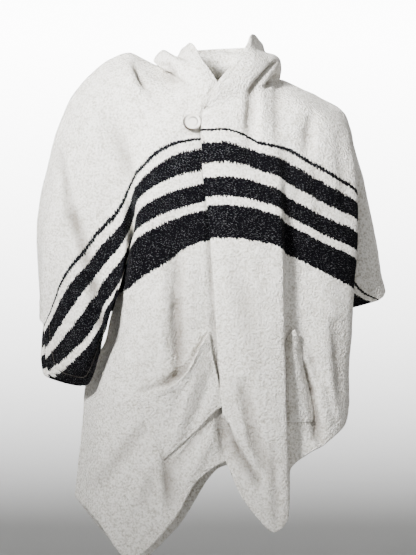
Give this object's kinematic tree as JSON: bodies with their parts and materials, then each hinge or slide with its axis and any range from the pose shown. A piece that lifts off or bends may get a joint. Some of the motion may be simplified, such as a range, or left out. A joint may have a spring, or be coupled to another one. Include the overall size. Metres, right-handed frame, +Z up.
{
  "type": "knitted poncho sweater",
  "caption": "Hooded open-front poncho of thick brushed wool with woven chest stripes, wide sleeves, an uneven hem, patch pockets and a button at the neck.",
  "frame": {"origin": "in the middle of the neck, at the height where the shoulders carry the cloth", "axes": "+X towards the wearer's left sleeve, -Y out of the front, +Z up"},
  "size_m": [0.5789, 0.3307, 0.8729],
  "materials": {
    "cloth": "brushed wool",
    "button": "satin"
  },
  "bodies": {
    "root": {"front_right": "cloth", "front_left": "cloth", "back": "cloth", "hood": "cloth", "pocket_right": "cloth", "pocket_left": "cloth", "button_loop": "cloth", "button": "button"}
  },
  "joints": []
}
